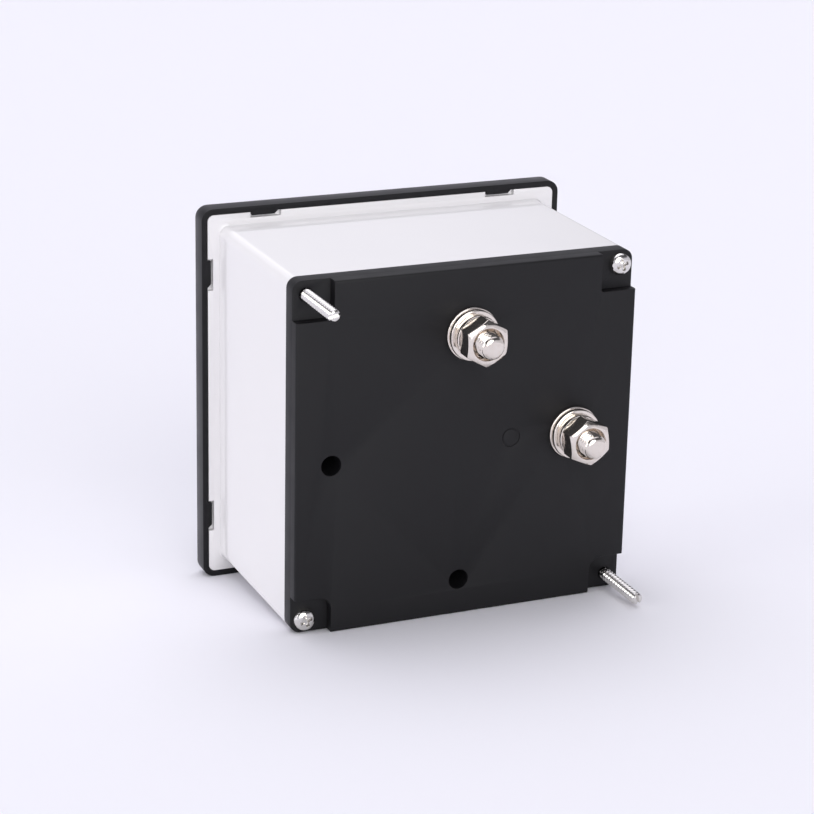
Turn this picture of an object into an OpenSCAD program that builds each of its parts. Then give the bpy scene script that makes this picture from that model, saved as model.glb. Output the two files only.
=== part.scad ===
// Square analog panel meter with a 90 degree pointer.
// X is the width, Z is up and Y is the depth: the dial faces -Y and the terminals point to +Y.
// The origin is the centre of the plane that seats on the front of the panel.

/* [Bezel] */
// Width and height of the front bezel
bezel_w = 96; // [92:0.5:100]
// Depth of the bezel in front of the panel
bezel_t = 6.5; // [6:0.1:8]
// Radius of the bezel's four corners
bezel_corner_r = 3; // [2.5:0.1:5]
// Rounding of the bezel's front edge
bezel_edge_r = 2; // [0.5:0.1:2.2]
// Width of the rim that wraps the housing flange
rim_w = 1.55; // [1.3:0.05:2.2]
// Thickness of the bezel's front wall
bezel_face_t = 2; // [1.6:0.1:2.4]
// Width of the frame from the outer side to the window opening
frame_w = 7; // [5.5:0.1:9]
// Inward slope of the window opening's sides
opening_slope = 1.2; // [0.4:0.1:2]
// Radius of the web that covers the movement's corner
web_r = 36; // [34.5:0.5:37]

/* [Snap lugs] */
// Distance of each lug from the middle of its side
lug_offset = 31.5; // [26:0.5:33]
// Length of a lug at its inner edge
lug_l = 5.8; // [4:0.1:6.4]
// Inward reach of a lug over the flange
lug_reach = 0.8; // [0.6:0.05:1.1]
// Thickness of a lug
lug_t = 1.2; // [0.8:0.1:1.5]
// Run of the lug's slanted end
lug_slant = 1.2; // [0.5:0.1:1.4]
// Length of a flange notch
notch_l = 8; // [7.8:0.1:10]
// Depth of a flange notch from the flange edge
notch_w = 1.35; // [1.2:0.05:1.6]

/* [Window] */
// Thickness of the window pane
pane_t = 2; // [1.5:0.1:2.2]
// Length dubbed off the pane's corners
pane_dub = 1.5; // [1.2:0.1:2.5]
// Side of the square cut from the pane's corner behind the web
pane_notch = 17.5; // [16:0.5:20]

/* [Housing] */
// Set-back of the body's sides from the bezel's sides
body_inset = 4.6; // [4:0.1:5.2]
// Depth of the body from the panel seat to the rear cover
body_d = 45.9; // [42:0.5:60]
// Wall thickness of the body
body_wall = 2.2; // [1.8:0.1:2.4]
// Radius of the body's long corners
body_corner_r = 2.5; // [2:0.1:4]
// Blend between the flange and the body
root_r = 0.9; // [0.5:0.1:1.2]
// Corner radius of the flange
flange_corner_r = 1.6; // [1:0.1:2.4]
// Width of the ledge behind the dial
ledge_w = 2.4; // [1.5:0.1:3]
// Thickness of the ledge behind the dial
ledge_t = 2; // [1.2:0.1:3]
// Radius of the corner posts
post_r = 3.2; // [2.8:0.1:3.3]

/* [Rear cover] */
// Depth of the rear cover
cover_d = 6.7; // [6.2:0.1:9]
// Thickness of the rear plate
plate_t = 2.5; // [2:0.1:3]
// Width of the four corner pockets
pocket_w = 9.3; // [8.6:0.1:11]
// Depth of the corner pockets
pocket_d = 2.8; // [2.3:0.1:3.2]
// Inner corner radius of the two lower pockets
pocket_r = 3.4; // [1:0.1:4]
// Inner corner radius of the two upper pockets
pocket_top_r = 0.6; // [0.5:0.1:4]
// Rounding of the rear plate's outer edge
cover_edge_r = 0.6; // [0.3:0.1:1]
// Depth of the locating lip inside the housing
lip_d = 2; // [1:0.1:4]
// Thickness of the locating lip
lip_t = 1.4; // [1:0.1:1.6]
// Radius of the two blind holes
blind_r = 2.5; // [1.5:0.1:2.8]
// Depth of the two blind holes
blind_d = 12; // [6:0.5:16]
// Radius of the plain ring mark left by the mould
mark_r = 2.4; // [1.5:0.1:3]

/* [Corner fasteners] */
// Distance of the corner screws and studs from the body's sides
corner_inset = 3.4; // [3.3:0.1:4]
// Diameter of the corner screws and mounting studs
corner_d = 3; // [2.5:0.1:3.2]
// Head diameter of the cover screws
screw_head_d = 5.4; // [5:0.1:5.6]
// Head height of the cover screws
screw_head_h = 1.9; // [1.4:0.1:2.4]
// Length of the cover screws under the head
screw_l = 12; // [8:0.5:16]
// Length of a mounting stud beyond the rear plate
stud_out = 15; // [8:0.5:30]
// Length of a mounting stud inside the corner post
stud_in = 14; // [8:0.5:20]
// Reduction in radius of the stud's inner end
shank_step = 0.25; // [0.2:0.05:0.4]
// Slot width in the stud ends and the small screws
slot_w = 0.7; // [0.5:0.1:0.9]

/* [Terminals] */
// Diameter of the terminal studs
terminal_d = 6; // [5:0.1:6.4]
// Distance of the upper terminal from the body's top
terminal_top = 15.9; // [13.5:0.1:19]
// Distance of the lower terminal from the body's side
terminal_side = 15.4; // [13.5:0.1:19]
// Sideways offset of the upper terminal from the centre
terminal_shift = 0.3; // [0:0.1:3]
// Drop of the lower terminal below the centre
terminal_drop = 0.2; // [0:0.1:3]
// Length of a terminal stud beyond the rear plate
terminal_out = 13.1; // [12.5:0.1:20]
// Diameter of the base washer
base_washer_d = 13; // [11.5:0.1:15]
// Thickness of the base washer
base_washer_t = 1; // [0.6:0.1:1.6]
// Diameter of the flat washer
flat_washer_d = 12.4; // [11:0.1:14]
// Thickness of the flat washer
flat_washer_t = 1.4; // [1:0.1:2]
// Diameter of the spring washer
spring_washer_d = 10.6; // [9.5:0.1:11.8]
// Thickness of the spring washer
spring_washer_t = 1.9; // [1.2:0.1:2.4]
// Width across the flats of the terminal nut
nut_af = 10; // [9:0.1:11]
// Height of the terminal nut
nut_h = 5.4; // [4:0.1:6]
// Height of the stud's hex head inside the cover
head_h = 3; // [2:0.1:4]
// Width of the shunt bar
shunt_w = 10; // [8:0.5:12]
// Thickness of the shunt bar
shunt_t = 1.2; // [0.8:0.1:1.6]

/* [Dial] */
// Distance of the dial's face behind the panel seat
dial_y = 4.2; // [3.8:0.1:5]
// Thickness of the dial plate
dial_t = 0.6; // [0.4:0.1:1]
// Distance of the dial screws from the housing's inner walls
dial_screw_inset = 5.2; // [4.5:0.1:5.4]
// Diameter of the dial screws
dial_screw_d = 2.5; // [2:0.1:2.6]
// Head diameter of the dial screws
dial_screw_head_d = 4.4; // [4:0.1:5]
// Head height of the dial screws
dial_screw_head_h = 1.4; // [1:0.1:1.6]
// Length of the dial screws under the head
dial_screw_l = 6; // [4:0.5:8]
// Wall round the dial screws in their bosses
dial_boss_wall = 1.6; // [1.2:0.1:2]
// Radius of the opening round the movement
dial_hole_r = 13.9; // [13.5:0.1:14]

/* [Pointer] */
// Distance of the pivot from the body's sides
pivot_inset = 16.4; // [16.2:0.1:17]
// Length of the pointer from its pivot
pointer_l = 58; // [50:0.5:60]
// Width of the pointer at its hub
pointer_w = 1.6; // [1:0.1:2]
// Width of the pointer's tip
pointer_tip_w = 0.5; // [0.3:0.1:0.9]
// Thickness of the pointer
pointer_t = 0.4; // [0.3:0.05:0.6]
// Gap between the pointer and the dial
pointer_gap = 1.5; // [1.2:0.1:1.8]
// Angle that the pointer sweeps
pointer_sweep = 90; // [80:1:90]
// Length of the balance arms
arm_l = 8; // [7:0.1:8.5]
// Radius of a balance weight
weight_r = 0.9; // [0.6:0.1:1]
// Distance of the pointer stops from the pivot
stop_at = 30; // [24:1:40]

/* [Movement] */
// Outer radius of the yoke ring
yoke_r = 13.4; // [13.1:0.1:13.6]
// Inner radius of the yoke ring
yoke_bore_r = 10.6; // [10.5:0.05:10.8]
// Length of the yoke ring
yoke_l = 12; // [9:0.5:16]
// Radius of the core magnet
core_r = 8; // [7.5:0.1:8.1]
// Radial thickness of the coil winding
coil_t = 1; // [0.6:0.1:1.2]
// Width of the coil winding
coil_w = 4.4; // [3:0.1:4.8]
// Thickness of the coil former
former_t = 0.35; // [0.25:0.05:0.4]
// Radius of the pivots
pivot_r = 0.6; // [0.4:0.05:0.8]
// Radius of the jewel screws
jewel_r = 1.5; // [1.3:0.1:2]
// Width of the bridges
bridge_w = 6; // [5:0.1:7]
// Thickness of the bridges
bridge_t = 1.2; // [1:0.1:1.4]
// Radius of the pillars under the bridges
pillar_r = 1; // [0.7:0.05:1.05]
// Thickness of the movement frame
frame_t = 2; // [1.5:0.1:3]
// Sideways offset of the movement's two fixing posts from the pivot
fixing_side = 7.5; // [4:0.1:9]
// Forward offset of the movement's two fixing posts from the pivot
fixing_ahead = 25.8; // [24:0.5:30]
// Radius of the moulded posts that carry the movement
fixing_post_r = 4.5; // [4:0.1:4.7]
// Grip of the movement screws in the moulded posts
fixing_grip = 7; // [5:0.5:9]
// Number of turns of each hairspring
spring_turns = 4; // [2:1:5]
// Outer radius of each hairspring
spring_r = 5; // [4.4:0.1:5.2]

/* [Zero adjuster] */
// Distance of the adjuster from the pivot
adjuster_at = 12; // [11:0.1:12.5]
// Radius of the adjuster's head
adjuster_r = 4.5; // [3.5:0.1:5]
// Radius of the adjuster's shank
shank_r = 2.5; // [2.3:0.1:2.8]
// Offset of the eccentric pin
eccentric = 1.5; // [1:0.1:1.6]
// Radius of the eccentric pin
pin_r = 0.75; // [0.6:0.05:0.85]
// Thickness of the zero lever
lever_t = 0.6; // [0.4:0.05:0.7]
// Width of the zero lever
lever_w = 4.6; // [4:0.1:5]

/* [Clearances] */
// Gap of a moulded part inside another
fit = 0.1; // [0.05:0.05:0.2]
// Radial running clearance of turning parts
running = 0.05; // [0.02:0.01:0.1]
// Radial gap of a screw in its threaded hole
thread_gap = 0.03; // [0.01:0.01:0.05]
// Radial gap of a screw or stud in a through hole
hole_gap = 0.15; // [0.1:0.05:0.3]
// Free gap beside moving parts
free_gap = 0.3; // [0.3:0.05:0.4]

/* [Hidden] */
$fn = 48;
skin = 0.01;
eps = 0.5;
DIAGONAL = sqrt(0.5);

// Depths, from front to rear
y_face = -bezel_t;
y_pane = y_face + bezel_face_t;
y_flange = y_pane + pane_t;
y_dial_back = dial_y + dial_t;
y_pointer_back = dial_y - pointer_gap;
y_pointer = y_pointer_back - pointer_t;
y_bridge = y_flange + 1.3;
y_bridge_back = y_bridge + bridge_t;
y_lever = y_bridge_back + 0.1;
y_lever_back = y_lever + lever_t;
spring_h = 0.4;
y_spring = y_lever_back + 0.6;
y_jewel_back = y_lever_back + 0.2;
cup_d = 0.6;
tip_gap = 0.3;
y_yoke = y_dial_back + 3.2;
y_yoke_back = y_yoke + yoke_l;
coil_end = 1.4;
coil_over = 2;
y_coil = y_yoke - coil_over;
y_coil_back = y_yoke_back + coil_over;
y_frame_back = y_yoke_back + frame_t;
y_rear_spring = y_coil_back + 1.6;
y_rear_bridge = y_rear_spring + 2.4;
y_rear_cup = y_rear_bridge - 0.3;
y_cover = body_d;
y_rear = body_d + cover_d;
y_plate = y_rear - plate_t;
y_pocket = y_rear - pocket_d;

// Widths and places across the meter
flange_w = bezel_w - 2 * rim_w;
body_w = bezel_w - 2 * body_inset;
inner_h = body_w / 2 - body_wall;
corner_at = body_w / 2 - corner_inset;
pocket_at = body_w / 2 - pocket_w;
corner_r = corner_d / 2;
stud_shank_r = corner_r - shank_step;
pivot_at = body_w / 2 - pivot_inset;
PIVOT = [pivot_at, -pivot_at];
ADJUSTER = PIVOT + adjuster_at * DIAGONAL * [1, -1];
WEB = [bezel_w / 2 - frame_w, -(bezel_w / 2 - frame_w)];
FIXINGS = [PIVOT + [fixing_side, fixing_ahead], PIVOT - [fixing_ahead, fixing_side]];
DIAL_SCREWS = [for (s = [-1, 1]) s * (inner_h - dial_screw_inset) * [1, 1]];
TERMINALS = [[-terminal_shift, body_w / 2 - terminal_top], [terminal_side - body_w / 2, -terminal_drop]];
MARK = [-11.5, 0.3];
terminal_r = terminal_d / 2;
pillar_at = (yoke_r + yoke_bore_r) / 2;
coil_in = core_r + 0.55;
coil_out = coil_in + former_t + coil_t;
collet_r = pivot_r + 0.7;
strip = 0.14;
spring_in = collet_r + running + strip;
anchor_r = spring_r + 0.2;

// Extrudes an outline drawn in X and Z from depth y0 back to depth y1.
module slab(y0, y1) {
    translate([0, y1, 0]) rotate([90, 0, 0]) linear_extrude(y1 - y0) children();
}

// A round bar along Y at the place p.
module rod(p, r, y0, y1) {
    translate([p[0], y1, p[1]]) rotate([90, 0, 0]) cylinder(h = y1 - y0, r = r);
}

// A turned piece at the place p; each point of the profile is [radius, depth].
module turned(p, profile) {
    translate([p[0], 0, p[1]]) rotate([90, 0, 0])
        rotate_extrude() polygon([for (q = profile) [q[0], -q[1]]]);
}

module at(p) {
    translate([p[0], p[1]]) children();
}

module each_corner() {
    for (sx = [0, 1], sy = [0, 1]) mirror([sx, 0]) mirror([0, sy]) children();
}

module rounded_square(w, r) {
    square([w - 2 * r, w], center = true);
    square([w, w - 2 * r], center = true);
    each_corner() translate([w / 2 - r, w / 2 - r]) circle(r);
}

// A rounded square block whose edge at depth y1 is rounded by edge_r.
module softened_block(w, r, y0, y1, edge_r) {
    back = y1 > y0 ? 1 : -1;
    hull() {
        slab(min(y0, y0 + back * skin), max(y0, y0 + back * skin)) rounded_square(w, r, $fn = 32);
        for (a = [0:18:90]) {
            y = y1 - back * (edge_r * (1 - sin(a)) + skin);
            inset = edge_r * (1 - cos(a));
            slab(min(y, y + back * skin), max(y, y + back * skin))
                rounded_square(w - 2 * inset, r - inset, $fn = 32);
        }
    }
}

// A square frustum from width w0 at depth y0 to width w1 at depth y1.
module frustum(w0, w1, r, y0, y1) {
    hull() {
        slab(y0, y0 + skin) rounded_square(w0, r, $fn = 32);
        slab(y1 - skin, y1) rounded_square(w1, r, $fn = 32);
    }
}

// Repeats a shape drawn for the top side on all four sides, mirrored about one diagonal.
module on_four_sides() {
    children();
    rotate(180) children();
    mirror([1, -1]) children();
    mirror([1, -1]) rotate(180) children();
}

// ---- Front ----

module lug_outline() {
    root = lug_reach + fit + eps;
    long = lug_l + lug_slant;
    for (s = [-1, 1]) translate([s * lug_offset - long / 2, flange_w / 2 - lug_reach])
        polygon([[lug_slant, 0], [long, 0], [long, root], [0, root], [0, lug_slant]]);
}

module front_bezel() {
    color("#1c1c1f") {
        difference() {
            softened_block(bezel_w, bezel_corner_r, 0, y_face, bezel_edge_r);
            slab(y_pane, eps) rounded_square(flange_w + 2 * fit, flange_corner_r);
            difference() {
                frustum(bezel_w - 2 * frame_w + 2 * opening_slope, bezel_w - 2 * frame_w,
                    flange_corner_r, y_face - skin, y_pane + skin);
                rod(WEB, web_r, y_face - eps, y_pane + eps);
            }
            rod(ADJUSTER, adjuster_r + running, y_face - eps, y_face + bezel_face_t / 2);
            rod(ADJUSTER, shank_r + running, y_face, y_pane + eps);
        }
        slab(-lug_t, 0) on_four_sides() lug_outline();
    }
}

module window_pane() {
    side = flange_w / 2;
    dub = side - pane_dub;
    notch = side - pane_notch;
    color("#dfe8ea", 0.35) slab(y_pane, y_flange) polygon([[dub, side], [-dub, side], [-side, dub],
        [-side, -dub], [-dub, -side], [notch, -side], [notch, -notch], [side, -notch], [side, dub]]);
}

module zero_adjuster() {
    shoulder = y_face + bezel_face_t / 2 - running;
    color("#26262a") {
        difference() {
            turned(ADJUSTER, [[0, y_face - 0.4], [adjuster_r - 0.4, y_face - 0.4], [adjuster_r, y_face],
                [adjuster_r, shoulder], [shank_r, shoulder], [shank_r, y_flange + 0.2], [0, y_flange + 0.2]]);
            translate([ADJUSTER[0], y_face, ADJUSTER[1]]) rotate([0, 45, 0])
                cube([2 * adjuster_r + 1, 1, 1], center = true);
        }
        rod(ADJUSTER + eccentric * DIAGONAL * [1, -1], pin_r, y_flange, y_lever_back + 0.3);
    }
}

// ---- Housing and rear cover ----

module notch_outline() {
    for (s = [-1, 1]) translate([s * lug_offset, flange_w / 2 - notch_w / 2 + eps / 2])
        square([notch_l, notch_w + eps], center = true);
}

module housing() {
    blend_r = 0.3 * root_r;
    color("#f0efec") difference() {
        union() {
            slab(y_flange, 0) rounded_square(flange_w, flange_corner_r);
            frustum(body_w + 2 * root_r, body_w + 2 * blend_r, body_corner_r + root_r / 2, -skin, blend_r);
            frustum(body_w + 2 * blend_r, body_w, body_corner_r, blend_r - skin, root_r);
            slab(-eps, y_cover) rounded_square(body_w, body_corner_r);
        }
        difference() {
            slab(y_flange - eps, y_cover + eps) square(2 * inner_h, center = true);
            slab(y_dial_back, y_dial_back + ledge_t) difference() {
                square(body_w, center = true);
                square(2 * (inner_h - ledge_w), center = true);
                at(PIVOT) circle(yoke_r + free_gap);
            }
            slab(y_dial_back, y_cover) each_corner() translate([corner_at, corner_at]) circle(post_r);
            slab(y_dial_back, dial_y + dial_screw_l + 3.6) for (p = DIAL_SCREWS)
                at(p) circle(dial_screw_d / 2 + dial_boss_wall);
        }
        slab(-lug_t - fit, eps) on_four_sides() notch_outline();
        for (s = [-1, 1]) {
            rod(s * corner_at * [1, 1], stud_shank_r + thread_gap, y_cover - stud_in - 2, y_cover + eps);
            rod(s * corner_at * [-1, 1], corner_r + thread_gap, y_cover - screw_l, y_cover + eps);
        }
        slab(y_dial_back - eps, dial_y + dial_screw_l + 2.6) for (p = DIAL_SCREWS)
            at(p) circle(dial_screw_d / 2 + thread_gap);
    }
}

// The two upper pockets have a tighter inner corner than the two lower ones.
module pocket_outlines() {
    reach = pocket_w + eps;
    for (sx = [0, 1], sz = [0, 1]) mirror([sx, 0]) mirror([0, sz]) translate([pocket_at, pocket_at]) {
        r = sz == 0 ? pocket_top_r : pocket_r;
        translate([r, 0]) square(reach);
        translate([0, r]) square(reach);
        translate([r, r]) circle(r);
    }
}

module rear_cover() {
    lip_h = inner_h - fit;
    boss_at = pocket_at - body_wall;
    color("#232326") difference() {
        union() {
            difference() {
                softened_block(body_w, body_corner_r, y_cover, y_rear, cover_edge_r);
                slab(y_cover - eps, y_plate) difference() {
                    square(2 * inner_h, center = true);
                    each_corner() translate([boss_at, boss_at]) square(body_w);
                }
                slab(y_pocket, y_rear + eps) pocket_outlines();
            }
            slab(y_cover - lip_d, y_plate + skin) difference() {
                square(2 * lip_h, center = true);
                square(2 * (lip_h - lip_t), center = true);
                each_corner() translate([boss_at, boss_at]) square(body_w);
            }
            for (p = FIXINGS) rod(p, fixing_post_r, y_frame_back, y_plate + skin);
        }
        each_corner_rod(corner_r + hole_gap);
        for (p = TERMINALS) rod(p, terminal_r + hole_gap, y_plate - eps, y_rear + eps);
        for (p = FIXINGS) {
            rod(p, blind_r, y_rear - blind_d, y_rear + eps);
            rod(p, corner_r + thread_gap, y_frame_back - eps, y_frame_back + fixing_grip + 2);
        }
        difference() {
            rod(MARK, mark_r, y_rear - 0.25, y_rear + eps);
            rod(MARK, mark_r - 0.4, y_rear - eps, y_rear + 2 * eps);
        }
    }
}

module each_corner_rod(r) {
    for (sx = [-1, 1], sz = [-1, 1]) rod(corner_at * [sx, sz], r, y_cover - eps, y_pocket + eps);
}

// ---- Fasteners ----

// A pan head screw whose head rests on the depth y_seat; its cross recess faces +Y or -Y.
module pan_screw(p, d, head_d, head_h, l, y_seat, facing) {
    crown = 0.35 * head_h;
    difference() {
        turned(p, [[0, y_seat - facing * l], [d / 2 - 0.4, y_seat - facing * l],
            [d / 2, y_seat - facing * (l - 0.6)], [d / 2, y_seat], [head_d / 2, y_seat],
            [head_d / 2, y_seat + facing * (head_h - 2 * crown)],
            [head_d / 2 - 0.3 * crown, y_seat + facing * (head_h - crown)],
            [head_d / 2 - crown, y_seat + facing * (head_h - 0.4 * crown)],
            [head_d / 4, y_seat + facing * head_h], [0, y_seat + facing * head_h]]);
        for (a = [0, 90]) translate([p[0], y_seat + facing * head_h, p[1]]) rotate([0, a + 20, 0])
            cube([0.56 * head_d, 1.2 * head_h, 0.16 * head_d], center = true);
    }
}

module cover_screw(side) {
    color("#d8d8da") pan_screw(side * corner_at * [-1, 1], corner_d, screw_head_d, screw_head_h,
        screw_l, y_pocket, 1);
}

module mounting_stud(side) {
    p = side * corner_at * [1, 1];
    y_end = y_rear + stud_out;
    y_start = y_cover - stud_in;
    shank = stud_shank_r;
    color("#cfcfd2") difference() {
        turned(p, [[0, y_start], [shank - 0.4, y_start], [shank, y_start + 0.4], [shank, y_pocket],
            [corner_r, y_pocket], [corner_r, y_end - 0.4], [corner_r - 0.4, y_end], [0, y_end]]);
        translate([p[0], y_end, p[1]]) rotate([0, -side * 45 + 60, 0])
            cube([corner_d + 1, 1.8, slot_w], center = true);
    }
}

// ---- Terminals ----

module hex_outline(af) {
    rotate(30) circle(d = af / cos(30), $fn = 6);
}

module terminal_stud(i) {
    y_end = y_rear + terminal_out;
    y_head = y_plate - shunt_t;
    color("#d4cfc6") {
        turned(TERMINALS[i], [[0, y_head - 0.5], [terminal_r, y_head - 0.5], [terminal_r, y_end - 1.3],
            [terminal_r - 1.2, y_end - 0.2], [terminal_r - 1.5, y_end], [0, y_end]]);
        slab(y_head - head_h, y_head) at(TERMINALS[i]) hex_outline(nut_af);
    }
}

module washer(i, d, hole_r, y0, t) {
    soft = 0.2;
    turned(TERMINALS[i], [[hole_r, y0], [d / 2 - soft, y0], [d / 2, y0 + soft], [d / 2, y0 + t - soft],
        [d / 2 - soft, y0 + t], [hole_r, y0 + t]]);
}

module base_washer(i) {
    color("#d6d1c9") washer(i, base_washer_d, terminal_r + hole_gap, y_rear, base_washer_t);
}

module flat_washer(i) {
    color("#d0c8be") washer(i, flat_washer_d, terminal_r + hole_gap, y_rear + base_washer_t, flat_washer_t);
}

module spring_washer(i) {
    y0 = y_rear + base_washer_t + flat_washer_t;
    color("#c9c4bb") difference() {
        washer(i, spring_washer_d, terminal_r + hole_gap, y0, spring_washer_t);
        translate([TERMINALS[i][0], y0 + spring_washer_t / 2, TERMINALS[i][1]]) rotate([0, 60, 0])
            rotate([0, 0, 25]) translate([spring_washer_d / 2, 0, 0])
            cube([spring_washer_d / 2, 2 * spring_washer_t + 2, 0.8], center = true);
    }
}

module terminal_nut(i) {
    y0 = y_rear + base_washer_t + flat_washer_t + spring_washer_t;
    chamfer = 0.9;
    face_r = 0.45 * nut_af;
    wide = nut_af / 2 / cos(30);
    color("#e0dedb") difference() {
        intersection() {
            slab(y0, y0 + nut_h) at(TERMINALS[i]) rotate(-7 * i) hex_outline(nut_af);
            turned(TERMINALS[i], [[0, y0], [face_r, y0], [wide + 0.2, y0 + chamfer],
                [wide + 0.2, y0 + nut_h - chamfer], [face_r, y0 + nut_h], [0, y0 + nut_h]]);
        }
        turned(TERMINALS[i], [[0, y0 - eps], [terminal_r + thread_gap, y0 - eps],
            [terminal_r + thread_gap, y0 + nut_h - 0.5], [terminal_r + 0.5, y0 + nut_h],
            [terminal_r + 0.5, y0 + nut_h + eps], [0, y0 + nut_h + eps]]);
    }
}

module shunt_bar() {
    color("#b5743c") slab(y_plate - shunt_t, y_plate) difference() {
        union() {
            hull_free_bar(TERMINALS[0], TERMINALS[1], shunt_w);
            for (p = TERMINALS) at(p) circle(d = shunt_w + 2);
        }
        for (p = TERMINALS) at(p) circle(terminal_r + hole_gap);
    }
}

// A straight bar of width w between two places.
module hull_free_bar(a, b, w) {
    run = b - a;
    at((a + b) / 2) rotate(atan2(run[1], run[0])) square([norm(run), w], center = true);
}

// ---- Dial ----

module dial_plate() {
    color("#fbfbf8") slab(dial_y, y_dial_back) difference() {
        square(2 * (inner_h - free_gap), center = true);
        at(PIVOT) circle(dial_hole_r);
        at(WEB) square(2 * (WEB[0] - PIVOT[0]) , center = true);
        for (p = DIAL_SCREWS) at(p) circle(dial_screw_d / 2 + hole_gap);
    }
}

module dial_screws() {
    color("#b9b9bc") for (p = DIAL_SCREWS) pan_screw(p, dial_screw_d,
        dial_screw_head_d, dial_screw_head_h, dial_screw_l, dial_y, -1);
}

// The stops stand beside the pointer at each end of its sweep.
module pointer_stops() {
    stop_r = 0.6;
    beside = asin((pointer_w / 2 + stop_r + free_gap) / stop_at);
    color("#2b2b2e") for (a = [180 + beside, 180 - pointer_sweep - beside])
        rod(PIVOT + stop_at * [cos(a), sin(a)], stop_r, y_pointer - 0.5, dial_y);
}

// ---- Moving element ----

module pointer() {
    hub_r = pivot_r + 1;
    color("#17171a") {
        slab(y_pointer, y_pointer_back) at(PIVOT) difference() {
            union() {
                polygon([[0, pointer_w / 2], [-pointer_l + 1, pointer_tip_w / 2], [-pointer_l, 0],
                    [-pointer_l + 1, -pointer_tip_w / 2], [0, -pointer_w / 2]]);
                for (a = [0, 90, 270]) rotate(a) translate([0, -0.4]) square([arm_l, 0.8]);
            }
            circle(pivot_r);
        }
        difference() {
            rod(PIVOT, hub_r, y_pointer - 0.2, y_pointer_back + 0.3);
            rod(PIVOT, pivot_r, y_pointer - eps, y_pointer_back + 1);
        }
    }
}

module balance_weights() {
    y_mid = (y_pointer + y_pointer_back) / 2;
    color("#c8b37a") for (a = [0, 90, 270]) translate([PIVOT[0], y_mid, PIVOT[1]]) rotate([0, -a, 0])
        translate([arm_l - 1.7, 0, 0]) rotate([0, 90, 0]) difference() {
            cylinder(h = 1.5, r = weight_r);
            translate([0, 0, 0.75]) cube([0.8, pointer_t, 2], center = true);
        }
}

module front_pivot() {
    color("#c4c4c8") turned(PIVOT, [[0, y_jewel_back - cup_d + tip_gap], [pivot_r, y_jewel_back + 0.4],
        [pivot_r, y_coil - 0.8], [2.2, y_coil - 0.8], [2.2, y_coil], [0, y_coil]]);
}

module rear_pivot() {
    y_tip = y_rear_cup + cup_d - tip_gap;
    color("#c4c4c8") turned(PIVOT, [[0, y_coil_back], [2.2, y_coil_back], [2.2, y_coil_back + 0.8],
        [pivot_r, y_coil_back + 0.8], [pivot_r, y_tip - 0.7], [0, y_tip]]);
}

module spring_collets() {
    color("#c9a24d") for (y = [y_spring, y_rear_spring]) difference() {
        rod(PIVOT, collet_r, y - 0.1, y + spring_h + 0.1);
        rod(PIVOT, pivot_r, y - 1, y + 2);
    }
}

// A band round the core in the plane of the pointer, w wide, out to a radius of r_out.
module coil_band(r_in, r_out, end_in, end_out, w) {
    difference() {
        slab(end_out, y_coil + y_coil_back - end_out) at(PIVOT) square([2 * r_out, w], center = true);
        slab(end_in, y_coil + y_coil_back - end_in) at(PIVOT) square([2 * r_in, w + 1], center = true);
    }
}

module coil_former() {
    end_in = y_coil + coil_end;
    color("#c0c2c6") coil_band(coil_in, coil_in + former_t, end_in, end_in - former_t, coil_w);
}

module moving_coil() {
    color("#b8642e") coil_band(coil_in + former_t, coil_out, y_coil + coil_end - former_t, y_coil, coil_w);
}

// ---- Zero setting and hairsprings ----

module zero_lever() {
    slot_in = adjuster_at - 1;
    slot_out = adjuster_at + eccentric + pin_r + 1;
    color("#c9a24d") translate([PIVOT[0], 0, PIVOT[1]]) rotate([0, 45, 0]) {
        slab(y_lever, y_lever_back) difference() {
            union() {
                circle(jewel_r + 1.6);
                translate([0, -lever_w / 2]) square([slot_out, lever_w]);
                translate([-anchor_r - 0.7, -1]) square([anchor_r, 2]);
            }
            circle(jewel_r + running);
            translate([slot_in, -pin_r - fit]) square([slot_out, 2 * (pin_r + fit)]);
        }
        slab(y_lever_back - skin, y_spring + spring_h) translate([-anchor_r - 0.7, -1]) square([0.7, 2]);
    }
}

// A flat spiral strip from radius r0 to radius r1 whose outer end lies at the angle a_end.
module hairspring(y, a_end) {
    steps = 24 * spring_turns;
    spiral = [for (i = [0:steps])
        [spring_in + (anchor_r - spring_in) * i / steps, a_end + 15 * (i - steps)]];
    slab(y, y + spring_h) at(PIVOT) polygon(concat(
        [for (q = spiral) q[0] * [cos(q[1]), sin(q[1])]],
        [for (i = [0:steps]) let (q = spiral[steps - i]) (q[0] - strip) * [cos(q[1]), sin(q[1])]]));
}

module front_hairspring() {
    color("#b98b4e") hairspring(y_spring, 135);
}

module rear_hairspring() {
    color("#b98b4e") hairspring(y_rear_spring, 45);
}

module jewel_screw(y_cup, facing, l) {
    difference() {
        turned(PIVOT, [[0, y_cup - facing * cup_d], [0.3, y_cup - facing * cup_d], [0.9, y_cup],
            [jewel_r, y_cup], [jewel_r, y_cup - facing * l], [0, y_cup - facing * l]]);
        translate([PIVOT[0], y_cup - facing * l, PIVOT[1]]) cube([2 * jewel_r + 1, 1, slot_w], center = true);
    }
}

module front_jewel_screw() {
    color("#d0ad5c") jewel_screw(y_jewel_back, 1, y_jewel_back - y_bridge + 0.8);
}

module rear_jewel_screw() {
    color("#d0ad5c") jewel_screw(y_rear_cup, -1, bridge_t + 1.4);
}

// ---- Movement ----

module bridge_outline() {
    at(PIVOT) rotate(45) {
        square([2 * pillar_at, bridge_w], center = true);
        for (s = [-1, 1]) translate([s * pillar_at, 0]) circle(bridge_w / 2);
    }
}

module on_pillars() {
    for (s = [-1, 1]) at(PIVOT + s * pillar_at * DIAGONAL * [1, 1]) children();
}

module front_bridge() {
    color("#b9bcc0") slab(y_bridge, y_bridge_back) difference() {
        intersection() {
            bridge_outline();
            at(PIVOT) circle(yoke_r + 0.4);
        }
        at(PIVOT) circle(jewel_r + thread_gap);
        on_pillars() circle(0.6 * pillar_r);
    }
}

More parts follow.
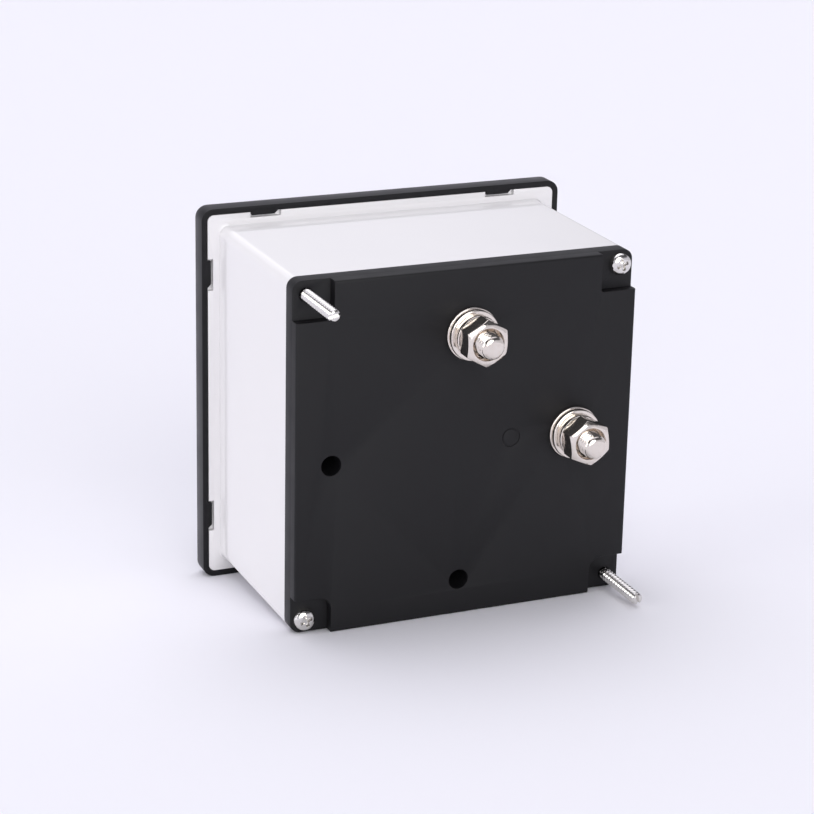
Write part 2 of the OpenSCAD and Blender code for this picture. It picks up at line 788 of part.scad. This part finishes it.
module bridge_pillars() {
    color("#c9a24d") {
        slab(y_bridge_back, y_yoke) on_pillars() circle(pillar_r);
        slab(y_bridge - 0.5, y_bridge_back + skin) on_pillars() circle(0.6 * pillar_r - thread_gap);
    }
}

module rear_bridge() {
    anchor_w = 2;
    anchor_t = 0.7;
    color("#b9bcc0") {
        slab(y_rear_bridge, y_rear_bridge + bridge_t) difference() {
            intersection() {
                bridge_outline();
                at(PIVOT) circle(yoke_r + 0.4);
            }
            at(PIVOT) circle(jewel_r + thread_gap);
        }
        slab(y_frame_back, y_rear_bridge + skin) on_pillars() circle(pillar_r);
        slab(y_rear_spring, y_rear_bridge + skin) at(PIVOT) rotate(45)
            translate([anchor_r, -anchor_w / 2]) square([anchor_t, anchor_w]);
    }
}

module core_magnet() {
    color("#54565b") slab(y_yoke, y_yoke_back) at(PIVOT) circle(core_r);
}

// Brass pieces that hold the core in the yoke, beside the coil's path.
module core_spacers() {
    half = 5.6;
    color("#c9a24d") slab(y_yoke + 1, y_yoke_back - 1) at(PIVOT) rotate(45) intersection() {
        difference() {
            circle(yoke_bore_r - skin);
            circle(core_r + skin);
        }
        for (s = [-1, 1]) translate([s * (core_r + half / 2), 0]) square([half, half], center = true);
    }
}

module yoke_ring() {
    color("#7d8086") slab(y_yoke, y_yoke_back) at(PIVOT) difference() {
        circle(yoke_r);
        circle(yoke_bore_r);
    }
}

module movement_frame() {
    ear_r = 5;
    color("#a9acb1") slab(y_yoke_back, y_frame_back) difference() {
        union() {
            at(PIVOT) circle(yoke_r + 0.2);
            for (p = FIXINGS) {
                at(p) circle(ear_r);
                hull_free_bar(PIVOT, p, 1.7 * ear_r);
            }
        }
        at(PIVOT) circle(yoke_bore_r + 0.2);
        for (p = FIXINGS) at(p) circle(corner_r + hole_gap);
    }
}

module movement_screws() {
    color("#b9b9bc") for (p = FIXINGS) pan_screw(p, corner_d,
        screw_head_d, screw_head_h, frame_t + fixing_grip, y_yoke_back, -1);
}

// ---- Leads ----

lead_r = 0.55;
lead_lie = lead_r + 0.05;
lead_tag = 7;
y_shunt_lead = y_plate - shunt_t - lead_lie;
FRAME_TAG = FIXINGS[1] + lead_tag * unit(PIVOT - FIXINGS[1]);
SHUNT_ROUTE = route([TERMINALS[0][0] - 3.7, y_shunt_lead, TERMINALS[0][1] - 7.5],
    [PIVOT[0] + lead_tag, y_rear_bridge + bridge_t + lead_lie, PIVOT[1] + lead_tag],
    [[0.03, 0.21, 0.05], [0.21, 0.5, 0.3], [0.42, 0.7, 0.65], [0.63, 0.84, 0.9]]);
FRAME_ROUTE = route([TERMINALS[1][0] + 7, y_shunt_lead, TERMINALS[1][1] + 4.2],
    [FRAME_TAG[0], y_frame_back + lead_lie, FRAME_TAG[1]],
    [[0.03, 0.21, 0.11], [0.24, 0.48, 0.49], [0.59, 0.75, 0.79]]);

// A lead's points from one end to the other: each share says how far along X, Y and Z a bend lies.
function route(from, to, shares) = concat([from],
    [for (share = shares) [for (k = [0:2]) from[k] + share[k] * (to[k] - from[k])]], [to]);

function blend(a, b, c, d, t) = 0.5 * (2 * b + (c - a) * t + (2 * a - 5 * b + 4 * c - d) * t * t
    + (3 * b - a - 3 * c + d) * t * t * t);

function smooth(route, n = 5) = let (m = len(route) - 1) concat(
    [for (i = [0:m - 1], k = [0:n - 1])
        blend(route[max(i - 1, 0)], route[i], route[i + 1], route[min(i + 2, m)], k / n)],
    [route[m]]);

function unit(v) = v / norm(v);

module tube(route, r, sides = 8) {
    path = smooth(route);
    m = len(path) - 1;
    points = [for (i = [0:m]) let (t = unit(path[min(i + 1, m)] - path[max(i - 1, 0)]),
        u = unit(cross(t, [0, 0.3, 1])), v = cross(t, u))
        for (k = [0:sides - 1]) path[i] + r * (cos(360 * k / sides) * u + sin(360 * k / sides) * v)];
    polyhedron(points, concat([[for (k = [0:sides - 1]) k]],
        [for (i = [0:m - 1], k = [0:sides - 1]) let (a = i * sides, n = (k + 1) % sides)
            [a + k, a + k + sides, a + n + sides, a + n]],
        [[for (k = [0:sides - 1]) m * sides + sides - 1 - k]]));
}

module shunt_lead() {
    color("#9c2f26") tube(SHUNT_ROUTE, lead_r);
}

module frame_lead() {
    color("#232a3a") tube(FRAME_ROUTE, lead_r);
}

front_bezel();
window_pane();
zero_adjuster();
housing();
rear_cover();
cover_screw(1);  // cover_screw_upper
cover_screw(-1);  // cover_screw_lower
mounting_stud(1);  // mounting_stud_upper
mounting_stud(-1);  // mounting_stud_lower
dial_plate();
dial_screws();
pointer_stops();
pointer();
balance_weights();
front_pivot();
rear_pivot();
spring_collets();
coil_former();
moving_coil();
zero_lever();
front_hairspring();
rear_hairspring();
front_jewel_screw();
rear_jewel_screw();
front_bridge();
bridge_pillars();
rear_bridge();
core_magnet();
core_spacers();
yoke_ring();
movement_frame();
movement_screws();
shunt_bar();
shunt_lead();
frame_lead();
terminal_stud(0);  // terminal_stud_1
terminal_stud(1);  // terminal_stud_2
base_washer(0);  // base_washer_1
base_washer(1);  // base_washer_2
flat_washer(0);  // flat_washer_1
flat_washer(1);  // flat_washer_2
spring_washer(0);  // spring_washer_1
spring_washer(1);  // spring_washer_2
terminal_nut(0);  // terminal_nut_1
terminal_nut(1);  // terminal_nut_2
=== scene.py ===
"""The looks of a square analog panel meter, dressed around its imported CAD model."""
import math

import bpy
from mathutils import Matrix, Vector


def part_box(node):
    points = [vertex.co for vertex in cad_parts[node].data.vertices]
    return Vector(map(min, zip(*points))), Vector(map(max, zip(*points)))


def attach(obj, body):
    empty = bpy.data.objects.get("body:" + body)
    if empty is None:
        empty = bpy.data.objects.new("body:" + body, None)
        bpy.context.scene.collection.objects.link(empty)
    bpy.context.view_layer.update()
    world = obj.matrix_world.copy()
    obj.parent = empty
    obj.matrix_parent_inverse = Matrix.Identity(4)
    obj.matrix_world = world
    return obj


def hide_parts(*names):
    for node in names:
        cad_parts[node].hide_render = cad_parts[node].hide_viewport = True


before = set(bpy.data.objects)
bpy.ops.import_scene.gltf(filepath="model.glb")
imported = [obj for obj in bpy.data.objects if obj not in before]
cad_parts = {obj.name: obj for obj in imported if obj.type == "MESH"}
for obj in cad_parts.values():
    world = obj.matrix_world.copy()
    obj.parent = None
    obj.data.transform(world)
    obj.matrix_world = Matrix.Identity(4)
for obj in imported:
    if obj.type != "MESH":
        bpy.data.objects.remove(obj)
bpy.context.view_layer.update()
MM = 0.001
BODY = "case"


# ---- Helpers for meshes ----

def deselect():
    """Leaves edit mode and selects nothing."""
    if bpy.context.mode != "OBJECT":
        bpy.ops.object.mode_set(mode="OBJECT")
    bpy.ops.object.select_all(action="DESELECT")


def activate(obj):
    """Selects one object alone and makes it the active one."""
    deselect()
    obj.select_set(True)
    bpy.context.view_layer.objects.active = obj


def settle(obj):
    """Moves an object's place, turn and scale into its mesh."""
    activate(obj)
    bpy.ops.object.transform_apply(location=True, rotation=True, scale=True)


def apply_modifiers(obj):
    """Applies every modifier in order."""
    activate(obj)
    for modifier in list(obj.modifiers):
        bpy.ops.object.modifier_apply(modifier=modifier.name)


def join(pieces, name):
    """Joins several objects into the first one."""
    deselect()
    for piece in pieces:
        piece.select_set(True)
    bpy.context.view_layer.objects.active = pieces[0]
    bpy.ops.object.join()
    pieces[0].name = name
    return pieces[0]


def smooth(obj, degrees=35):
    """Smooth shading that stays crisp across edges sharper than the angle."""
    activate(obj)
    bpy.ops.object.shade_smooth_by_angle(angle=math.radians(degrees))


def recalculate_normals(obj):
    """Merges doubles and turns every face outwards."""
    activate(obj)
    bpy.ops.object.mode_set(mode="EDIT")
    bpy.ops.mesh.select_all(action="SELECT")
    bpy.ops.mesh.remove_doubles(threshold=1e-7)
    bpy.ops.mesh.normals_make_consistent(inside=False)
    bpy.ops.object.mode_set(mode="OBJECT")


def softened(node, width, segments=2, angle=32, shade=40):
    """A copy of a CAD node whose sharp edges get the small radius that moulding or tumbling leaves."""
    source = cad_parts[node]
    piece = source.copy()
    piece.data = source.data.copy()
    piece.name = node + "_soft"
    piece.parent = None
    piece.matrix_world = Matrix.Identity(4)
    piece.data.materials.clear()
    bpy.context.scene.collection.objects.link(piece)
    activate(piece)
    bpy.ops.mesh.customdata_custom_splitnormals_clear()
    bpy.ops.object.mode_set(mode="EDIT")
    bpy.ops.mesh.select_all(action="SELECT")
    bpy.ops.mesh.remove_doubles(threshold=2e-6)
    bpy.ops.mesh.dissolve_limited(angle_limit=math.radians(0.6))
    bpy.ops.object.mode_set(mode="OBJECT")
    bevel = piece.modifiers.new("edge", "BEVEL")
    bevel.width = width
    bevel.segments = segments
    bevel.limit_method = "ANGLE"
    bevel.angle_limit = math.radians(angle)
    bevel.use_clamp_overlap = True
    bevel.miter_outer = "MITER_ARC"
    apply_modifiers(piece)
    smooth(piece, shade)
    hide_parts(node)
    return piece


# ---- Helpers for materials ----

def linear(hex_colour):
    """An sRGB hex colour as linear RGBA."""
    parts = [int(hex_colour[i:i + 2], 16) / 255 for i in (1, 3, 5)]
    return tuple(p / 12.92 if p <= 0.04045 else ((p + 0.055) / 1.055) ** 2.4 for p in parts) + (1.0,)


def add(tree, kind, settings=None, inputs=None, links=None):
    """Adds one node with its settings, its sockets' values and the links into it."""
    node = tree.nodes.new(kind)
    for key, value in (settings or {}).items():
        setattr(node, key, value)
    for key, value in (inputs or {}).items():
        node.inputs[key].default_value = value
    for key, socket in (links or {}).items():
        tree.links.new(socket, node.inputs[key])
    return node


def new_material(name):
    """An empty node material with its output and the object's own coordinates."""
    material = bpy.data.materials.new(name)
    material.use_nodes = True
    tree = material.node_tree
    tree.nodes.clear()
    output = add(tree, "ShaderNodeOutputMaterial")
    place = add(tree, "ShaderNodeTexCoord").outputs["Object"]
    return material, tree, output, place


def finish(name, colour, darker, roughness, spread, metallic=0.0, mottle_mm=6.0, grain_mm=0.4,
           grain_depth_mm=0.002, ior=1.5, coat=0.0, coat_roughness=0.1, stretch=(1, 1, 1)):
    """A shader with a soft mottle in colour and roughness and a fine relief on its surface."""
    material, tree, output, place = new_material(name)
    scaled = add(tree, "ShaderNodeMapping", inputs={"Scale": stretch}, links={"Vector": place}).outputs[0]
    mottle = add(tree, "ShaderNodeTexNoise", inputs={"Scale": 1 / (mottle_mm * MM), "Detail": 4.0},
                 links={"Vector": scaled}).outputs["Fac"]
    grain = add(tree, "ShaderNodeTexNoise", inputs={"Scale": 1 / (grain_mm * MM), "Detail": 2.0},
                links={"Vector": scaled}).outputs["Fac"]
    tint = add(tree, "ShaderNodeMix", {"data_type": "RGBA"}, {6: linear(colour), 7: linear(darker)},
               {0: mottle}).outputs[2]
    rough = add(tree, "ShaderNodeMapRange", inputs={"From Min": 0.3, "From Max": 0.7,
                "To Min": roughness - spread, "To Max": roughness + spread},
                links={"Value": mottle}).outputs[0]
    relief = add(tree, "ShaderNodeBump", inputs={"Strength": 1.0, "Distance": grain_depth_mm * MM},
                 links={"Height": grain}).outputs[0]
    inputs = {"Metallic": metallic, "Coat Weight": coat, "Coat Roughness": coat_roughness}
    if metallic < 0.5:
        inputs["IOR"] = ior
    shader = add(tree, "ShaderNodeBsdfPrincipled", inputs=inputs,
                 links={"Base Color": tint, "Roughness": rough, "Normal": relief}).outputs[0]
    tree.links.new(shader, output.inputs["Surface"])
    return material


def dress(obj, material):
    """Gives a piece its material and its body."""
    obj.data.materials.clear()
    obj.data.materials.append(material)
    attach(obj, BODY)


def paint(material, *nodes):
    """Gives carried-over CAD nodes a material."""
    for node in nodes:
        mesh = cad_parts[node].data
        mesh.materials.clear()
        mesh.materials.append(material)


# ---- Materials ----

# Phenolic moulding, tumbled after moulding: black with a low sheen.
cover_black = finish("phenolic_satin", "#0b0b0d", "#100f12", 0.52, 0.04, grain_mm=0.35,
                     grain_depth_mm=0.004, ior=1.38)
# Polished ABS moulding: black, brighter highlights along its edges.
bezel_black = finish("abs_black_polished", "#0a0a0c", "#0f0e11", 0.36, 0.04, grain_mm=0.6,
                     grain_depth_mm=0.001, ior=1.36)
# Urea moulding from a polished tool: cream white, clear enough to mirror the flange.
shell_white = finish("urea_white_polished", "#e8e6e6", "#e5e3e4", 0.17, 0.02, mottle_mm=25, grain_mm=5.0,
                     grain_depth_mm=0.004, coat=0.5, coat_roughness=0.06)
# Nickel plate on turned brass: bright, with faint turning lines.
nickel = finish("nickel_plate", "#ece6df", "#ddd3c8", 0.13, 0.05, metallic=1.0, mottle_mm=1.2,
                grain_mm=0.35, grain_depth_mm=0.006)
# Bright zinc-nickel on small screws and studs: cooler and a little duller.
bright_screw = finish("nickel_plate_bright", "#e9e7e4", "#d8d5d0", 0.15, 0.05, metallic=1.0, mottle_mm=1.0,
                      grain_mm=0.3, grain_depth_mm=0.006)
# Turned free-cutting steel.
turned_steel = finish("turned_steel", "#a9a9ab", "#9b9b9e", 0.28, 0.05, metallic=1.0, mottle_mm=2.0,
                      grain_mm=0.12, grain_depth_mm=0.001)
# Turned brass, lightly aged.
brass = finish("turned_brass", "#c9a461", "#b88f4c", 0.26, 0.06, metallic=1.0, mottle_mm=2.0,
               grain_mm=0.12, grain_depth_mm=0.001)
# Pressed aluminium, lightly brushed.
aluminium = finish("pressed_aluminium", "#c9cbce", "#b9bbbe", 0.36, 0.05, metallic=1.0, mottle_mm=3.0,
                   grain_mm=0.2, grain_depth_mm=0.002, stretch=(1, 1, 6))
# Stove enamel on the dial: matt white.
dial_white = finish("stove_enamel_white", "#f1f0ea", "#ebeae3", 0.55, 0.04, mottle_mm=12, grain_mm=0.3,
                    grain_depth_mm=0.001)
# Matt black paint on the pointer, the stops and the dial's marks.
matt_black = finish("matt_black_paint", "#131314", "#1a1a1b", 0.6, 0.05, mottle_mm=2, grain_mm=0.2,
                    grain_depth_mm=0.001)
# Bare copper: the shunt.
copper = finish("bare_copper", "#c07c54", "#a96743", 0.32, 0.06, metallic=1.0, mottle_mm=4.0, grain_mm=0.3,
                grain_depth_mm=0.002)
# Sintered magnet alloy: dark, ground flat.
magnet = finish("ground_magnet_alloy", "#5c5d60", "#4c4d50", 0.4, 0.05, metallic=1.0, mottle_mm=3.0,
                grain_mm=0.2, grain_depth_mm=0.002)
red_lead = finish("lead_insulation_red", "#8e2219", "#7c1c14", 0.45, 0.05, mottle_mm=3, grain_mm=0.3)
blue_lead = finish("lead_insulation_blue", "#1d2b52", "#182344", 0.45, 0.05, mottle_mm=3, grain_mm=0.3)


def enamelled_wire():
    """Enamelled copper wire wound in 0.12 mm turns, which shows as fine bands across the coil."""
    material, tree, output, place = new_material("enamelled_copper_winding")
    bands = add(tree, "ShaderNodeTexWave", {"bands_direction": "Z"},
                {"Scale": 1 / (0.36 * MM * 2 * math.pi), "Distortion": 0.4}, {"Vector": place}).outputs["Fac"]
    tint = add(tree, "ShaderNodeMix", {"data_type": "RGBA"}, {6: linear("#7c3a1c"), 7: linear("#b7683a")},
               {0: bands}).outputs[2]
    relief = add(tree, "ShaderNodeBump", inputs={"Strength": 1.0, "Distance": 0.03 * MM},
                 links={"Height": bands}).outputs[0]
    shader = add(tree, "ShaderNodeBsdfPrincipled", inputs={"Metallic": 0.6, "Roughness": 0.3,
                                                           "Coat Weight": 0.6,
                 "Coat Roughness": 0.15}, links={"Base Color": tint, "Normal": relief}).outputs[0]
    tree.links.new(shader, output.inputs["Surface"])
    return material


def window_glass():
    """Float glass: clear, with a faint waviness."""
    material, tree, output, place = new_material("float_glass")
    wave = add(tree, "ShaderNodeTexNoise", inputs={"Scale": 1 / (30 * MM), "Detail": 1.0},
               links={"Vector": place}).outputs["Fac"]
    relief = add(tree, "ShaderNodeBump", inputs={"Strength": 0.2, "Distance": 0.01 * MM},
                 links={"Height": wave}).outputs[0]
    glass = add(tree, "ShaderNodeBsdfPrincipled", inputs={"Base Color": linear("#f4f8f7"), "Roughness": 0.02,
                "IOR": 1.5, "Transmission Weight": 1.0}, links={"Normal": relief}).outputs[0]
    clear = add(tree, "ShaderNodeBsdfTransparent", inputs={"Color": linear("#eef3f2")}).outputs[0]
    shadow = add(tree, "ShaderNodeLightPath").outputs["Is Shadow Ray"]
    mixed = add(tree, "ShaderNodeMixShader", links={0: shadow, 1: glass, 2: clear}).outputs[0]
    tree.links.new(mixed, output.inputs["Surface"])
    return material


# ---- Moulded parts ----

bezel = softened("front_bezel", 0.25 * MM, segments=3)
dress(bezel, bezel_black)
housing = softened("housing", 0.25 * MM, segments=2)
dress(housing, shell_white)
cover = softened("rear_cover", 0.25 * MM, segments=3)
dress(cover, cover_black)

# ---- Fasteners ----

THREAD_SIDES = 48
THREAD_ROWS = 8


def threaded_rod(centre, radius, pitch, start, end, tip, name, depth):
    """A rod along Y with a cut thread and a rounded tip: a grid is shaped, rolled up and closed at both ends."""
    length = end - start
    nose = 0.45 * radius
    bpy.ops.mesh.primitive_grid_add(x_subdivisions=THREAD_SIDES, size=2, location=(0, 0, 0),
                                    y_subdivisions=math.ceil(THREAD_ROWS * length / pitch))
    rod = bpy.context.active_object
    rod.name = name
    for vertex in rod.data.vertices:
        angle = math.pi * (vertex.co.x + 1)
        along = length * (vertex.co.y + 1) / 2
        phase = (along / pitch - angle / math.tau) % 1
        crest = min(max(1.25 - 2.5 * abs(phase - 0.5) - 0.12, 0), 1)
        in_tip = min(max((along - length + tip) / tip, 0), 1)
        limit = nose + (radius - nose) * math.sqrt(1 - in_tip ** 2)
        reach = min(radius - depth * pitch * (1 - crest), limit)
        vertex.co = (centre[0] + reach * math.cos(angle), start + along, centre[1] + reach * math.sin(angle))
    bpy.ops.object.mode_set(mode="EDIT")
    bpy.ops.mesh.select_all(action="SELECT")
    bpy.ops.mesh.remove_doubles(threshold=1e-6)
    bpy.ops.mesh.fill_holes(sides=0)
    bpy.ops.mesh.select_all(action="SELECT")
    bpy.ops.mesh.normals_make_consistent(inside=False)
    bpy.ops.object.mode_set(mode="OBJECT")
    return rod


def subtract(piece, tool):
    """Cuts one object out of another."""
    cut = piece.modifiers.new("cut", "BOOLEAN")
    cut.operation = "DIFFERENCE"
    cut.object = tool
    cut.solver = "EXACT"
    apply_modifiers(piece)
    bpy.data.objects.remove(tool)


def countersink(nut, centre, face):
    """Opens a nut's threaded bore with a wide cone at its outer face."""
    bpy.ops.mesh.primitive_cone_add(vertices=64, radius1=2.6 * MM, radius2=4.0 * MM, depth=1.4 * MM,
                                    location=(centre[0], face - 0.69 * MM, centre[1]),
                                    rotation=(math.radians(-90), 0, 0))
    cone = bpy.context.active_object
    settle(cone)
    subtract(nut, cone)
    smooth(nut, 40)


def box_at(place, size, turn=0.0):
    """A block centred on a place, turned about Y."""
    bpy.ops.mesh.primitive_cube_add(size=1, location=place, rotation=(0, turn, 0))
    block = bpy.context.active_object
    block.scale = size
    settle(block)
    return block


def plain_rod(centre, radius, start, end, vertices=48):
    """A smooth rod along Y."""
    bpy.ops.mesh.primitive_cylinder_add(vertices=vertices, radius=radius, depth=end - start,
                                        location=(centre[0], (start + end) / 2, centre[1]),
                                        rotation=(math.radians(90), 0, 0))
    rod = bpy.context.active_object
    settle(rod)
    return rod


def middle(node):
    """A node's centre in X and Z."""
    low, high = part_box(node)
    return ((low.x + high.x) / 2, (low.z + high.z) / 2)


POCKET_FLOOR = 49.8 * MM
REAR_FACE = 52.6 * MM

for side, node in ((1, "mounting_stud_upper"), (-1, "mounting_stud_lower")):
    low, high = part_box(node)
    centre = middle(node)
    # The M3 thread's half-millimetre pitch is drawn coarser, or it would not show.
    stud = threaded_rod(centre, 1.5 * MM, 1.25 * MM, POCKET_FLOOR, high.y, 0.8 * MM, node + "_threaded", 0.3)
    subtract(stud, box_at((centre[0], high.y, centre[1]), (4 * MM, 1.8 * MM, 0.7 * MM),
                          math.radians(-side * 45 + 60)))
    shank = plain_rod(centre, 1.25 * MM, low.y, POCKET_FLOOR)
    stud = join([stud, shank], node + "_threaded")
    smooth(stud, 30)
    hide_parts(node)
    dress(stud, bright_screw)

for i in (1, 2):
    node = f"terminal_stud_{i}"
    low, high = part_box(node)
    centre = middle(node)
    stud = threaded_rod(centre, 3 * MM, 1 * MM, low.y + 2.5 * MM, high.y, 1.6 * MM, node + "_threaded", 0.6)
    head = softened(node, 0.1 * MM)
    bpy.ops.object.mode_set(mode="EDIT")
    bpy.ops.mesh.select_all(action="SELECT")
    bpy.ops.mesh.bisect(plane_co=(0, low.y + 3.05 * MM, 0), plane_no=(0, 1, 0), use_fill=True,
                        clear_outer=True)
    bpy.ops.object.mode_set(mode="OBJECT")
    stud = join([stud, head], node + "_threaded")
    smooth(stud, 30)
    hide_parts(node)
    dress(stud, nickel)
    for kind, edge in (("terminal_nut", 0.14), ("base_washer", 0.12), ("flat_washer", 0.15),
                       ("spring_washer", 0.15)):
        piece = softened(f"{kind}_{i}", edge * MM)
        if kind == "terminal_nut":
            countersink(piece, centre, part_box(f"{kind}_{i}")[1].y)
        dress(piece, nickel)

for node in ("cover_screw_upper", "cover_screw_lower"):
    piece = softened(node, 0.08 * MM)
    dress(piece, bright_screw)

# ---- Carried-over nodes ----

paint(bezel_black, "zero_adjuster")
paint(window_glass(), "window_pane")
paint(dial_white, "dial_plate")
paint(turned_steel, "dial_screws", "front_pivot", "rear_pivot", "yoke_ring", "movement_screws")
paint(matt_black, "pointer", "pointer_stops")
paint(brass, "balance_weights", "spring_collets", "zero_lever", "front_hairspring", "rear_hairspring",
      "front_jewel_screw", "rear_jewel_screw", "bridge_pillars", "core_spacers")
paint(aluminium, "coil_former", "front_bridge", "rear_bridge", "movement_frame")
paint(enamelled_wire(), "moving_coil")
paint(magnet, "core_magnet")
paint(copper, "shunt_bar")
paint(red_lead, "shunt_lead")
paint(blue_lead, "frame_lead")

# ---- Dial marks ----

dial_low, dial_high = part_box("dial_plate")
PIVOT = Vector((27 * MM, 0, -27 * MM))
MARK_FACE = dial_low.y - 0.04 * MM


def dial_point(radius, degrees):
    """A place on the dial at an angle from the rest position, along the pointer's sweep."""
    a = math.radians(180 - degrees)
    return Vector((PIVOT.x + radius * math.cos(a), MARK_FACE, PIVOT.z + radius * math.sin(a)))


def dial_marks():
    """The scale's arc, its graduations and plain numbers, printed as a thin raised layer."""
    pieces = []
    for step in range(0, 51):
        degrees = step * 90 / 50
        long = step % 10 == 0
        half = step % 5 == 0
        outer = 59.5 * MM
        length = (6 if long else 4.4 if half else 3) * MM
        width = (0.7 if long else 0.45 if half else 0.28) * MM
        middle_r = outer - length / 2
        place = dial_point(middle_r, degrees)
        mark = box_at(place, (length, 0.08 * MM, width), math.radians(-(180 - degrees)))
        pieces.append(mark)
    verts, faces = [], []
    n = 90
    for i in range(n + 1):
        for r, y in ((52.9, -0.04), (53.2, -0.04), (53.2, 0.04), (52.9, 0.04)):
            p = dial_point(r * MM, i * 90 / n)
            verts.append((p.x, MARK_FACE + y * MM, p.z))
    for i in range(n):
        a, b = 4 * i, 4 * (i + 1)
        for k in range(4):
            m = (k + 1) % 4
            faces.append((a + k, b + k, b + m, a + m))
    faces.append((0, 1, 2, 3))
    faces.append((4 * n + 3, 4 * n + 2, 4 * n + 1, 4 * n))
    mesh = bpy.data.meshes.new("dial_arc")
    mesh.from_pydata(verts, [], faces)
    arc = bpy.data.objects.new("dial_arc", mesh)
    bpy.context.scene.collection.objects.link(arc)
    recalculate_normals(arc)
    pieces.append(arc)
    for k in range(6):
        bpy.ops.object.text_add(location=(0, 0, 0))
        label = bpy.context.active_object
        label.data.body = str(20 * k)
        label.data.size = 5.6 * MM
        label.data.align_x = "CENTER"
        label.data.align_y = "CENTER"
        label.data.extrude = 0.03 * MM
        label.data.resolution_u = 6
        activate(label)
        bpy.ops.object.convert(target="MESH")
        degrees = 18 * k
        place = dial_point(48 * MM, degrees + (3 if k == 0 else -2.5 if k == 5 else 0))
        label.rotation_euler = (math.radians(90), 0, 0)
        label.location = place
        settle(label)
        pieces.append(label)
    marks = join(pieces, "dial_marks")
    return marks


marks = dial_marks()
dress(marks, matt_black)

# ---- Stage ----

# The meter stands on two edges, the bezel's and the rear cover's, so the floor leans to meet both.
bezel_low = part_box("front_bezel")[0]
cover_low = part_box("rear_cover")[0]
TILT = math.atan2((cover_low.z - bezel_low.z), REAR_FACE)


def stage():
    """A pale floor that keeps the meter's shadow."""
    bpy.ops.mesh.primitive_plane_add(size=12, location=(0, 0, bezel_low.z - 0.02 * MM), rotation=(TILT, 0, 0))
    floor = bpy.context.active_object
    floor.name = "stage_floor"
    settle(floor)
    material, tree, output, _ = new_material("pale_floor")
    diffuse = add(tree, "ShaderNodeBsdfDiffuse", inputs={"Color": linear("#f6f5fa")}).outputs[0]
    tree.links.new(diffuse, output.inputs["Surface"])
    floor.data.materials.append(material)


def lamp(name, direction, width, level, colour="#ffffff"):
    """A far softbox in a direction: width is its angle across and level the white that it gives a facing wall."""
    data = bpy.data.lights.new(name, "SUN")
    data.angle = math.radians(width)
    data.energy = math.pi * level
    data.color = linear(colour)[:3]
    light = bpy.data.objects.new(name, data)
    light.rotation_euler = Vector(direction).to_track_quat("Z", "Y").to_euler()
    bpy.context.scene.collection.objects.link(light)


def studio():
    """Softboxes behind and in front, a pale backdrop round the horizon and a darker ceiling."""
    world = bpy.data.worlds.new("studio")
    world.use_nodes = True
    tree = world.node_tree
    tree.nodes.clear()
    output = add(tree, "ShaderNodeOutputWorld")
    direction = add(tree, "ShaderNodeTexCoord").outputs["Generated"]
    height = add(tree, "ShaderNodeSeparateXYZ", links={0: direction}).outputs["Z"]
    horizon = add(tree, "ShaderNodeMapRange", {"interpolation_type": "SMOOTHSTEP"},
                  {"From Min": 0.3, "From Max": 0.5, "To Min": 0.78, "To Max": 0.1},
                  {"Value": height}).outputs[0]
    above = add(tree, "ShaderNodeVectorMath", {"operation": "DOT_PRODUCT"}, {1: (0.0, -0.34, 0.94)},
                {0: direction}).outputs["Value"]
    dome = add(tree, "ShaderNodeMapRange", {"interpolation_type": "SMOOTHSTEP"},
               {"From Min": 0.66, "From Max": 0.8, "To Min": 0.0, "To Max": 1.05},
               {"Value": above}).outputs[0]
    level = add(tree, "ShaderNodeMath", {"operation": "ADD"}, links={0: horizon, 1: dome}).outputs[0]
    soft = add(tree, "ShaderNodeBackground", inputs={"Color": linear("#f0effa")},
               links={"Strength": level}).outputs[0]
    seen = add(tree, "ShaderNodeBackground", inputs={"Color": linear("#f6f5fa"), "Strength": 1.0}).outputs[0]
    path = add(tree, "ShaderNodeLightPath").outputs["Is Camera Ray"]
    mixed = add(tree, "ShaderNodeMixShader", links={0: path, 1: soft, 2: seen}).outputs[0]
    tree.links.new(mixed, output.inputs["Surface"])
    bpy.context.scene.world = world
    lamp("softbox_behind", (-0.05, -0.36, 0.93), 50, 0.17)
    lamp("softbox_side", (0.95, 0.05, 0.3), 40, 0.22)
    lamp("softbox_front", (0.15, 0.9, 0.4), 50, 0.52)


def camera():
    data = bpy.data.cameras.new("camera")
    data.sensor_width = 36
    data.lens = 113.48
    data.shift_x = -0.00556
    data.shift_y = -0.00978
    data.clip_start = 0.05
    azimuth, elevation, roll = (math.radians(v) for v in (156.362, 18.866, 1.284))
    back = Vector((math.sin(azimuth) * math.cos(elevation), -math.cos(azimuth) * math.cos(elevation),
                   math.sin(elevation)))
    right = Vector((math.cos(azimuth), math.sin(azimuth), 0))
    up = back.cross(right)
    turned_right = right * math.cos(roll) + up * math.sin(roll)
    turned_up = up * math.cos(roll) - right * math.sin(roll)
    place = turned_right * 7.625 * MM - turned_up * 5.401 * MM + back * 653.469 * MM
    obj = bpy.data.objects.new("camera", data)
    turn = Matrix((turned_right, turned_up, back)).transposed()
    obj.matrix_world = Matrix.Translation(place) @ turn.to_4x4()
    bpy.context.scene.collection.objects.link(obj)
    bpy.context.scene.camera = obj


stage()
studio()
camera()
bpy.context.scene.view_settings.view_transform = "Standard"
